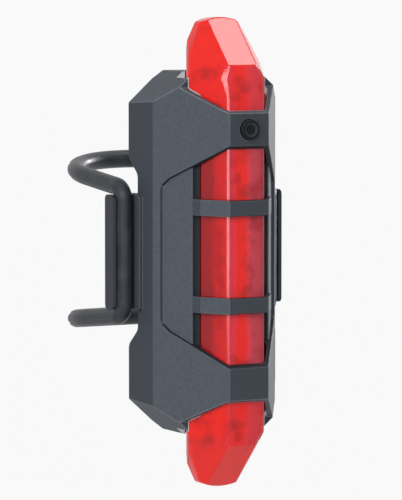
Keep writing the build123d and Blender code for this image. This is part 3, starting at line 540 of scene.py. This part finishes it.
def dressNodes():
    finishes = {
        "front_cage": mouldedBlackAbs("mouldedBlackAbs", cageAbs),
        "rear_case": mouldedBlackAbs("mouldedCaseAbs", caseAbs),
        "prism_plate": ribbedRedPrism(),
        "port_cover": mouldedRubber("siliconeCover", "#222427", "#303337", 0.6),
        "case_seal": mouldedRubber("greySilicone", "#6A6C6E", "#7C7E80", 0.6),
        "power_button": mouldedBlackAbs("mouldedButtonAbs", buttonAbs),
        "usb_socket": platedMetal("nickelPlatedSteel", "#C8CACD", 0.28),
        "reflector": platedMetal("vacuumMetallisedPlastic", "#E9E9EC", 0.16),
        "battery_cell": platedMetal("laminatedCellFoil", "#C5C7CA", 0.35),
        "header_pins": platedMetal("goldPlatedBrass", "#D9B25A", 0.25),
        "circuit_board": solderMask(),
        "leds": smallPlastic("lampPhosphor", "#E6D98A", "#F3EBB5", 0.3),
        "battery_foam": smallPlastic("openCellFoam", "#1E1F21", "#36383A", 0.95, 0.4 * mm),
        "battery_lead_red": smallPlastic("redPvcLead", "#9E1512", "#B31A16", 0.4),
        "battery_lead_black": smallPlastic("blackPvcLead", "#141414", "#1E1E1F", 0.4),
        "charger_chip": smallPlastic("epoxyChip", "#191A1B", "#242526", 0.55),
        "chip_resistors": smallPlastic("ceramicResistor", "#26211C", "#8A7E70", 0.5),
        "usb_tongue": smallPlastic("blackLcpTongue", "#101112", "#191A1B", 0.45),
    }
    sameAs = {
        "button_seal": "case_seal", "switch_body": "usb_socket", "switch_plunger": "usb_tongue",
        "protection_board": "circuit_board", "charge_board": "circuit_board",
        "controller_chip": "charger_chip",
    }
    for name, piece in nodes.items():
        if name not in modelledHere:
            piece.data.materials.clear()
            piece.data.materials.append(finishes[sameAs.get(name, name)])


def selectOnly(piece):
    bpy.ops.object.select_all(action="DESELECT")
    piece.select_set(True)
    bpy.context.view_layer.objects.active = piece


def editPiece(piece):
    selectOnly(piece)
    bpy.ops.object.mode_set(mode="EDIT")
    bpy.ops.mesh.select_all(action="SELECT")


def leaveEdit():
    bpy.ops.object.mode_set(mode="OBJECT")


def pickParts(piece, kind, rule):  # selects the vertices, edges or faces that the rule keeps, in edit mode
    bpy.ops.mesh.select_mode(type={"verts": "VERT", "edges": "EDGE", "faces": "FACE"}[kind])
    bpy.ops.mesh.select_all(action="DESELECT")
    shape = bmesh.from_edit_mesh(piece.data)
    for part in getattr(shape, kind):
        if rule(part):
            part.select_set(True)
    shape.select_flush_mode()
    bmesh.update_edit_mesh(piece.data)


def middleOf(part):
    return sum((v.co for v in part.verts), Vector()) / len(part.verts)


def mergeAndFaceOut():         # in edit mode, with all selected
    bpy.ops.mesh.remove_doubles(threshold=mergeWithin)
    bpy.ops.mesh.normals_make_consistent(inside=False)


def applyPlace(piece):
    selectOnly(piece)
    bpy.ops.object.transform_apply(location=True, rotation=True, scale=True)


def applyModifier(piece, name, kind, **settings):
    selectOnly(piece)
    modifier = piece.modifiers.new(name, kind)
    for setting, value in settings.items():
        setattr(modifier, setting, value)
    bpy.ops.object.modifier_apply(modifier=modifier.name)


def combine(piece, tool, how):
    applyModifier(piece, "combine", "BOOLEAN", object=tool, operation=how, solver="EXACT")
    bpy.data.objects.remove(tool, do_unlink=True)


def mirrorPiece(piece, name, axes):
    applyModifier(piece, name, "MIRROR", use_axis=axes, merge_threshold=closeBy)


def finishPiece(piece, name, material, node, angle):
    editPiece(piece)
    mergeAndFaceOut()
    leaveEdit()
    bpy.ops.object.shade_smooth_by_angle(angle=math.radians(angle))
    applyModifier(piece, "flatsStayFlat", "WEIGHTED_NORMAL", keep_sharp=True)
    piece.name = name
    piece.data.name = name
    piece.data.materials.clear()
    piece.data.materials.append(material)
    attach(piece, "housing")
    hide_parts(node)


ring = {
    "thickness": 2.9 * mm,
    "sides": 32,
    "loopRadius": 14.25 * mm,  # middle line of each loop
    "loopSteps": 44,           # on half a loop
    "rise": 11.7 * mm,         # each loop from the light's middle
    "tilt": 6.5,               # degrees, the loops fan apart towards the back
    "bend": 2.25 * mm,         # where it turns down behind a hook
    "bendSteps": 12,
    "strandX": 13.3 * mm,
    "strandY": -12.2 * mm,
    "seam": 0.045 * mm,        # parting line left by the two halves of the mould
    "groove": 0.11 * mm,       # two fine grooves run along its outer side
    "grooveTurns": (-34, 34),  # degrees from its outermost line
    "grooveReach": 0.15 * mm,
    "smoothAngle": 40,         # degrees, a greater turn stays sharp
}


def makeRing(material):
    tilt = math.radians(ring["tilt"])
    radius = ring["loopRadius"]
    shift = radius * (1 / math.cos(tilt) - 1)

    def onLoop(x, y):
        return Vector((x, y * math.cos(tilt), ring["rise"] + y * math.sin(tilt)))

    hookX, hookY = ring["strandX"], ring["strandY"] / math.cos(tilt)
    touch = math.atan2(hookY - shift, hookX) + math.acos(radius / math.hypot(hookX, hookY - shift))
    back = onLoop(0, shift + radius)
    legEnd = onLoop(radius * math.cos(touch), shift + radius * math.sin(touch))
    corner = onLoop(hookX, hookY)
    leg = (legEnd - corner).normalized()
    turn = math.acos(leg.z)
    reach = ring["bend"] * math.tan(turn / 2)
    bendMiddle = corner + (leg - Vector((0, 0, 1))).normalized() * ring["bend"] / math.cos(turn / 2)
    strandTop = corner.z - reach

    bpy.ops.object.select_all(action="DESELECT")
    bpy.ops.mesh.primitive_circle_add(vertices=ring["sides"], radius=ring["thickness"] / 2, location=back,
                                      rotation=(0, math.pi / 2, 0))
    piece = bpy.context.object
    applyPlace(piece)
    editPiece(piece)
    for side in (1, -1):       # parting lines above and below
        pickParts(piece, "verts",
                  lambda v: abs(v.co.y - back.y) < closeBy and (v.co.z - back.z) * side > 0)
        bpy.ops.transform.translate(value=(0, 0, side * ring["seam"]))
    for degrees in ring["grooveTurns"]:
        outward = Vector((0, math.cos(math.radians(degrees)), math.sin(math.radians(degrees))))
        spot = back + outward * ring["thickness"] / 2
        pickParts(piece, "verts", lambda v: (v.co - spot).length < ring["grooveReach"])
        bpy.ops.transform.translate(value=(back - spot).normalized() * ring["groove"])
    bpy.ops.mesh.select_all(action="SELECT")
    bpy.ops.mesh.spin(steps=ring["loopSteps"], angle=math.pi / 2 - touch, center=onLoop(0, shift),
                      axis=(0, -math.sin(tilt), math.cos(tilt)))
    bpy.ops.mesh.extrude_region_move(TRANSFORM_OT_translate={"value": corner + leg * reach - legEnd})
    bpy.ops.mesh.spin(steps=ring["bendSteps"], angle=turn, center=bendMiddle,
                      axis=leg.cross(Vector((0, 0, -1))).normalized())
    bpy.ops.mesh.extrude_region_move(TRANSFORM_OT_translate={"value": (0, 0, -strandTop)})
    leaveEdit()
    mirrorPiece(piece, "otherQuarters", (True, False, True))
    finishPiece(piece, "mountingRing", material, "mounting_ring", ring["smoothAngle"])


lensShape = {                  # mm
    "front": -29.4,
    "back": -18.4,
    "tip": 38.0,
    "wall": 0.95,
    "faceHalf": 3.25,          # half width of the front face
    "sideSlope": 28.5,         # degrees, the sides lean out towards the back
    "barHalf": 5.7,            # half width between the heads
    "barReach": 22.95,         # the heads are wider beyond here
    "headHalf": 7.3,
    "leanFrom": 25.6,          # the head's face leans back from here up
    "slantFoot": (2.65, -28.25, 30.4),
    "kink": (3.75, -28.6, 28.4),
    "slant": (7.7, 7.6),       # end facet, back and up
    "rearBevel": (4.3, 5.0),   # depth, and half width at the back
    "crown": (8.1, 3.5, 8.6),  # arch radius, its half width, and the drop of the leaning sides
    "crownTurns": (-20, -12, -4, 4, 12, 20),  # degrees, the flats that make the arch
    "footReach": 20.5,
    "footHalf": 8.05,
    "footHeight": 1.0,
    "footWall": 0.6,           # next to the wall
    "edgeCut": (3.0, 30.75),   # flat along the face's long edges: where it starts, and its turn in degrees
    "headCuts": (              # wider flats where a head's face turns into its side
        ((3.0, -29.4, 25.6), (3.06, -28.73, 28.4), (3.88, -28.25, 28.4)),
        ((3.06, -28.73, 28.4), (3.88, -28.25, 28.4), (2.2, -28.25, 30.4)),
    ),
    "turnWidth": 1.7,          # rounding where a head's side turns in
    "turnSteps": 6,
    "turnZone": ((4.3, 7.0), (-28.2, -22.0), (26, 31)),  # across, back and up
    "edgeWidth": 0.3,          # rounding of a head's other edges
    "edgeSteps": 4,
    "sharpZone": (1.9, -27.9),  # the flats keep their edges beyond this half width and before this depth
    "margin": 0.1,
    "sharpest": 11,            # degrees, a lesser turn is no edge
    "buttonZ": 20.35,
    "buttonHoles": ((2.25, 1.8), (1.1, 3.0)),  # radius, depth
    "buttonSides": 40,
    "clearOf": (12, -40, 10),  # well past it: across, in front and behind
    "openBy": 3,               # how far the hollow runs out at the back
    "smoothAngle": 20,
}


def addBlock(low, high):
    size = [(high[i] - low[i]) * mm for i in range(3)]
    middle = [(high[i] + low[i]) / 2 * mm for i in range(3)]
    bpy.ops.object.select_all(action="DESELECT")
    bpy.ops.mesh.primitive_cube_add(size=1, location=middle, scale=size)
    piece = bpy.context.object
    applyPlace(piece)
    return piece


def trim(place, outward, inset=0.0):  # cuts off what lies beyond a plane, in edit mode
    outward = Vector(outward).normalized()
    bpy.ops.mesh.select_all(action="SELECT")
    bpy.ops.mesh.bisect(plane_co=(Vector(place) - outward * inset) * mm, plane_no=outward, use_fill=True,
                        clear_outer=True, threshold=cutWithin)


def trimFlank(side, inset):    # the planes down one side of the lens, and the two ends of it
    shape = lensShape
    front, tip, half = shape["front"], shape["tip"], shape["headHalf"]
    slope = math.radians(shape["sideSlope"])
    foot, kink = Vector(shape["slantFoot"]), Vector(shape["kink"])
    bevelDepth, bevelHalf = shape["rearBevel"]
    radius, archHalf, crownDrop = shape["crown"]
    archDrop = radius - math.sqrt(radius ** 2 - archHalf ** 2)
    cutFrom, cutTurn = shape["edgeCut"][0], math.radians(shape["edgeCut"][1])
    across = (kink - foot).cross(Vector((0, *shape["slant"])))
    trim((side * shape["faceHalf"], front, 0), (side * math.cos(slope), -math.sin(slope), 0), inset)
    trim((side * half, shape["back"] - bevelDepth, 0), (side * bevelDepth, half - bevelHalf, 0), inset)
    trim((side * cutFrom, front, 0), (side * math.sin(cutTurn), -math.cos(cutTurn), 0), inset)
    for end in (1, -1):
        for first, second, third in shape["headCuts"]:
            outward = (Vector(second) - Vector(first)).cross(Vector(first) - Vector(third))
            outward *= -1 if outward.y > 0 else 1
            trim((side * first[0], first[1], end * first[2]),
                 (side * outward.x, outward.y, end * outward.z), inset)
        trim((side * foot.x, foot.y, end * foot.z), (side * across.x, across.y, end * across.z), inset)
        trim((side * half, 0, end * (tip - crownDrop)),
             (side * (crownDrop - archDrop), 0, end * (half - archHalf)), inset)


def trimEnd(end, inset):       # the leaning face, the slanted end and the arched tip
    shape = lensShape
    front, tip, radius = shape["front"], shape["tip"], shape["crown"][0]
    slantRun, slantRise = shape["slant"]
    foot = Vector(shape["slantFoot"])
    rise = foot.z - shape["leanFrom"]
    trim((0, front, end * shape["leanFrom"]), (0, -rise, end * (foot.y - front)), inset)
    trim((0, foot.y, end * foot.z), (0, -slantRise, end * slantRun), inset)
    for degrees in shape["crownTurns"]:
        turn = math.radians(degrees)
        outward = Vector((math.sin(turn), 0, end * math.cos(turn)))
        trim(Vector((0, 0, end * (tip - radius))) + outward * radius, outward, inset)


def lensBody(inset, behind):
    shape = lensShape
    half, tip = shape["headHalf"], shape["tip"]
    piece = addBlock((-half + inset, shape["front"] + inset, -tip), (half - inset, behind, tip))
    editPiece(piece)
    for side in (1, -1):
        trimFlank(side, inset)
    for end in (1, -1):
        trimEnd(end, inset)
    leaveEdit()
    reach = shape["barReach"] + inset
    clearAside, clearFront, clearBack = shape["clearOf"]
    for side in (1, -1):       # narrower between the heads
        low, high = sorted((side * (shape["barHalf"] - inset), side * clearAside))
        combine(piece, addBlock((low, clearFront, -reach), (high, clearBack, reach)), "DIFFERENCE")
    return piece


def roundEdges(piece, width, steps, rule):
    editPiece(piece)
    mergeAndFaceOut()
    pickParts(piece, "edges", lambda e: e.is_manifold
              and e.calc_face_angle(0) > math.radians(lensShape["sharpest"]) and rule(middleOf(e) / mm))
    bpy.ops.mesh.bevel(offset=width * mm, segments=steps, profile=0.5, affect="EDGES",
                       clamp_overlap=False)
    leaveEdit()


def makeLens(material):
    shape = lensShape
    back, wall, footHalf, footReach = (shape[name] for name in ("back", "wall", "footHalf", "footReach"))
    acrossZone, backZone, upZone = shape["turnZone"]
    sharpHalf, sharpFront = shape["sharpZone"]
    margin = shape["margin"]

    def whereSideTurns(p):
        return (acrossZone[0] < abs(p.x) < acrossZone[1] and upZone[0] < abs(p.z) < upZone[1]
                and backZone[0] < p.y < backZone[1])

    def otherHeadEdge(p):
        return (p.y < back - margin and abs(p.z) > shape["leanFrom"] - 2 * margin
                and not (p.y < sharpFront and abs(p.x) > sharpHalf))

    piece = lensBody(0, back)
    roundEdges(piece, shape["turnWidth"], shape["turnSteps"], whereSideTurns)
    roundEdges(piece, shape["edgeWidth"], shape["edgeSteps"], otherHeadEdge)
    footFront = back - shape["footHeight"]
    beyond = back + shape["openBy"]
    combine(piece, addBlock((-footHalf, footFront, -footReach), (footHalf, back, footReach)), "UNION")
    combine(piece, lensBody(wall, beyond), "DIFFERENCE")
    combine(piece, addBlock((-footHalf + wall, footFront + wall * shape["footWall"], -footReach + wall),
                            (footHalf - wall, beyond, footReach - wall)), "DIFFERENCE")
    for radius, depth in shape["buttonHoles"]:
        bpy.ops.object.select_all(action="DESELECT")
        bpy.ops.mesh.primitive_cylinder_add(vertices=shape["buttonSides"], radius=radius * mm,
                                            depth=2 * depth * mm,
                                            location=(0, shape["front"] * mm, shape["buttonZ"] * mm),
                                            rotation=(math.pi / 2, 0, 0))
        tool = bpy.context.object
        applyPlace(tool)
        combine(piece, tool, "DIFFERENCE")
    finishPiece(piece, "lensShell", material, "lens", shape["smoothAngle"])


screw = {                      # mm
    "across": 7.25,            # from the middle, four places
    "along": 23.2,
    "seat": -12.5,             # under the head
    "headRadius": 1.5,
    "headHeight": 1.0,
    "dome": ((0.55, 1), (0.3, 0.9), (0.15, 0.78)),  # share of the head's height, and how it narrows
    "recess": (1.7, 0.42, 0.55),  # span, width and depth of the cross
    "recessOpen": 1,
    "sides": 24,
    "core": 0.72,
    "crest": 0.95,
    "neck": 0.4,               # plain length under the head
    "pitch": 0.8,
    "turns": 7,
    "flank": 0.3,              # share of the pitch on each flank, then on the crest and the root
    "flat": 0.2,
    "point": (0.9, 0.35),      # length, and how it narrows
    "smoothAngle": 35,
}


def makeScrews(material):
    place = Vector((screw["across"], screw["seat"], screw["along"])) * mm
    swell = screw["crest"] / screw["core"]
    flank, flat = screw["pitch"] * screw["flank"], screw["pitch"] * screw["flat"]
    bpy.ops.object.select_all(action="DESELECT")
    bpy.ops.mesh.primitive_circle_add(vertices=screw["sides"], radius=screw["core"] * mm, location=place,
                                      fill_type="NGON", rotation=(math.pi / 2, 0, 0))
    piece = bpy.context.object
    applyPlace(piece)
    editPiece(piece)

    def push(along, size):
        bpy.ops.mesh.extrude_region_move(TRANSFORM_OT_translate={"value": (0, along * mm, 0)})
        bpy.ops.transform.resize(value=(size, 1, size), center_override=place)

    push(-screw["neck"], 1)
    for turn in range(screw["turns"]):  # thread, crest and root in turn
        push(-flank, swell)
        push(-flat, 1)
        push(-flank, 1 / swell)
        push(-flat, 1)
    push(-screw["point"][0], screw["point"][1])
    pickParts(piece, "faces", lambda f: abs(middleOf(f).y - place.y) < closeBy)
    push(0, screw["headRadius"] / screw["core"])
    for share, narrowing in screw["dome"]:
        push(screw["headHeight"] * share, narrowing)
    leaveEdit()
    span, width, depth = screw["recess"]
    top = screw["seat"] + screw["headHeight"]
    x, z = screw["across"], screw["along"]
    for a, b in ((span, width), (width, span)):
        combine(piece, addBlock((x - a / 2, top - depth, z - b / 2),
                                (x + a / 2, top + screw["recessOpen"], z + b / 2)), "DIFFERENCE")
    copies = [piece]
    for flipX, flipZ in ((-1, 1), (1, -1), (-1, -1)):
        selectOnly(piece)
        bpy.ops.object.duplicate()
        copy = bpy.context.object
        move = ((flipX - 1) * screw["across"] * mm, 0, (flipZ - 1) * screw["along"] * mm)
        bpy.ops.transform.translate(value=move)
        applyPlace(copy)
        copies.append(copy)
    for count, copy in enumerate(copies, 1):
        finishPiece(copy, f"caseScrew{count}", material, "case_screws",
                    screw["smoothAngle"])


pad = {                        # mm, and degrees from the middle of the front
    "inner": 12.7,
    "outer": 13.7,
    "half": 21.0,
    "halfAngle": 33.79,
    "columns": 11,             # up to that angle, every second one grooved
    "wingHalf": 8.6,
    "wingAngle": 60.0,
    "wingSteps": 8,
    "groove": 0.32,            # grooves for grip
    "land": 0.14,
    "sameTurn": 0.002,         # radians, two turns nearer than this are one
    "upright": 0.1,            # how level a face may be, 1 being flat
    "smoothAngle": 40,
}


def turnOf(place):             # angle from the middle of the front
    return math.atan2(abs(place.x), -place.y)


def makePad(material):
    inner = pad["inner"] * mm
    edge = math.radians(pad["halfAngle"])
    wing = pad["wingAngle"] - pad["halfAngle"]
    middle = -(pad["inner"] + pad["outer"]) / 2 * mm
    bpy.ops.object.select_all(action="DESELECT")
    bpy.ops.mesh.primitive_plane_add(size=1, location=(0, middle, 0), rotation=(math.pi / 2, 0, math.pi / 2))
    piece = bpy.context.object
    piece.scale = ((pad["outer"] - pad["inner"]) * mm, 2 * pad["half"] * mm, 1)
    applyPlace(piece)
    editPiece(piece)
    for side in (1, -1):       # lines where the wings start
        bpy.ops.mesh.select_all(action="SELECT")
        bpy.ops.mesh.bisect(plane_co=(0, 0, side * pad["wingHalf"] * mm), plane_no=(0, 0, 1))
    bpy.ops.mesh.select_all(action="SELECT")
    bpy.ops.mesh.spin(steps=pad["columns"], angle=edge, center=(0, 0, 0), axis=(0, 0, 1))

    def whereWingStarts(f):    # the middle strip's end, all of it at one turn
        return (abs(middleOf(f).z) < mm and abs(turnOf(middleOf(f)) - edge) < pad["sameTurn"]
                and abs(f.normal.z) < pad["upright"] and len({round(turnOf(v.co), 3) for v in f.verts}) == 1)

    def onGroovedColumn(f):
        column = int(math.degrees(turnOf(middleOf(f))) / (pad["halfAngle"] / pad["columns"]))
        return (all(abs(math.hypot(v.co.x, v.co.y) - inner) < 2 * closeBy for v in f.verts)
                and column % 2 == 1)

    pickParts(piece, "faces", whereWingStarts)
    bpy.ops.mesh.spin(steps=pad["wingSteps"], angle=math.radians(wing), center=(0, 0, 0), axis=(0, 0, 1))
    pickParts(piece, "faces", lambda f: all(abs(v.co.x) < mergeWithin / 2 for v in f.verts))
    bpy.ops.mesh.delete(type="FACE")
    pickParts(piece, "faces", onGroovedColumn)
    bpy.ops.mesh.inset(thickness=pad["land"] * mm, use_even_offset=True)
    deeper = 1 + pad["groove"] / pad["inner"]
    bpy.ops.mesh.extrude_region_move()
    bpy.ops.transform.resize(value=(deeper, deeper, 1), center_override=(0, 0, 0))
    leaveEdit()
    mirrorPiece(piece, "otherHalf", (True, False, False))
    finishPiece(piece, "saddlePad", material, "saddle_pad", pad["smoothAngle"])


makeCamera()
makeStudio()
print("camera and studio ready")
dressNodes()
print("CAD nodes dressed")
makeLens(redPolycarbonate())
print("lens modelled")
makeRing(mouldedRubber("mouldedNitrileRubber", "#24272C", "#34383E", 0.38))
makePad(mouldedRubber("softPadRubber", "#1A1B1D", "#2A2B2E", 0.75))
makeScrews(platedMetal("zincPlatedSteel", "#B9BCC0", 0.32))
print("ring, pad and screws modelled")
